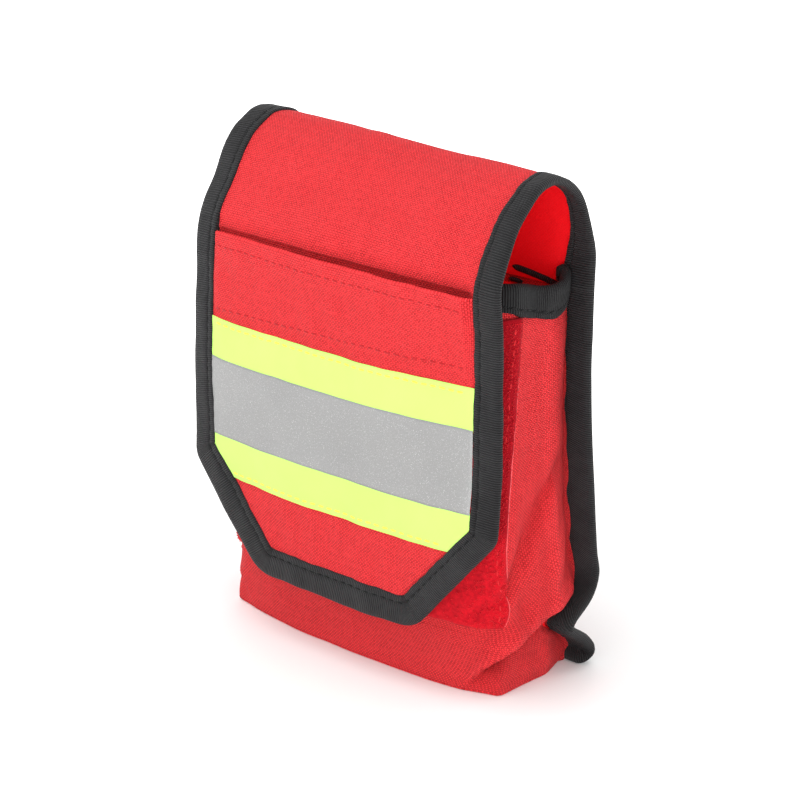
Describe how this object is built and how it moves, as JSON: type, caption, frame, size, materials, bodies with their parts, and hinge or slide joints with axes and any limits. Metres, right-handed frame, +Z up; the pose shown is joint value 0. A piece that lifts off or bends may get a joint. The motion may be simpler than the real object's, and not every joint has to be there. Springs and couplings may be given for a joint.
{
  "type": "fire blanket belt pouch",
  "caption": "Red fabric belt pouch with a folded fire blanket inside, a domed flap with bound edges and a reflective tape, and an opening belt loop.",
  "frame": {"origin": "centre of the base on the floor", "axes": "+Z up, -Y the front with the reflective tape, +X to the right seen from the front"},
  "size_m": [0.119, 0.0527, 0.154],
  "materials": {
    "red_fabric": "plain-weave nylon, slight sheen",
    "black_binding": "ribbed woven binding",
    "black_webbing": "woven webbing",
    "red_pile": "soft loop pile",
    "red_hook": "stiff hook tape",
    "black_pile": "soft loop pile",
    "black_hook": "stiff hook tape",
    "dark_thread": "bonded thread",
    "red_thread": "bonded thread",
    "yellow_thread": "bonded thread",
    "hivis_fabric": "fluorescent woven tape",
    "reflective_silver": "glass-bead retroreflective",
    "glass_fabric": "woven glass fibre",
    "snap_metal": "black lacquered brass press stud"
  },
  "bodies": {
    "pouch": {"front_panel": "red_fabric", "gusset_left": "red_fabric", "gusset_right": "red_fabric", "base_panel": "red_fabric", "back_panel": "red_fabric", "body_edge_binding": "black_binding", "mouth_binding": "black_binding", "front_loop_patch": "red_pile", "mouth_stitching": "dark_thread", "body_edge_stitching": "dark_thread", "loop_patch_stitching": "red_thread", "belt_loop_foot": "red_fabric", "belt_pile_patch": "black_pile", "snap_post": "snap_metal", "snap_stud": "snap_metal", "belt_loop_stitching": "dark_thread"},
    "flap_top": {"flap_top_panel": "red_fabric", "flap_top_binding_left": "black_binding", "flap_top_binding_right": "black_binding", "flap_top_stitching": "dark_thread"},
    "flap_front": {"flap_front_panel": "red_fabric", "flap_pocket_panel": "red_fabric", "flap_front_binding": "black_binding", "hivis_tape": "hivis_fabric", "reflective_stripe": "reflective_silver", "flap_hook_patch": "red_hook", "flap_front_stitching": "dark_thread", "tape_stitching": "yellow_thread", "hem_stitching": "red_thread"},
    "blanket": {"fire_blanket": "glass_fabric", "pull_tab_left": "black_webbing", "pull_tab_right": "black_webbing"},
    "belt_loop": {"belt_loop_strap": "red_fabric", "belt_hook_patch": "black_hook", "snap_socket": "snap_metal", "snap_cap": "snap_metal"}
  },
  "joints": [
    {"name": "flap_open", "type": "hinge", "parent": "pouch", "child": "flap_top", "pos_m": [0, 0.0154, 0.1258], "axis": [-1, 0, 0], "range_deg": [0, 155]},
    {"name": "flap_front_lift", "type": "hinge", "parent": "flap_top", "child": "flap_front", "pos_m": [0, -0.0283, 0.1236], "axis": [-1, 0, 0], "range_deg": [0, 110]},
    {"name": "blanket_pull", "type": "slide", "parent": "pouch", "child": "blanket", "axis": [0, 0, 1], "range_m": [0, 0.092]},
    {"name": "belt_loop_open", "type": "hinge", "parent": "pouch", "child": "belt_loop", "pos_m": [0, 0.01825, 0.03795], "axis": [-1, 0, 0], "range_deg": [0, 100]}
  ],
  "couplings": [
    {"joint": "blanket_pull", "follows": "flap_open", "m_per_rad": 0.034}
  ]
}
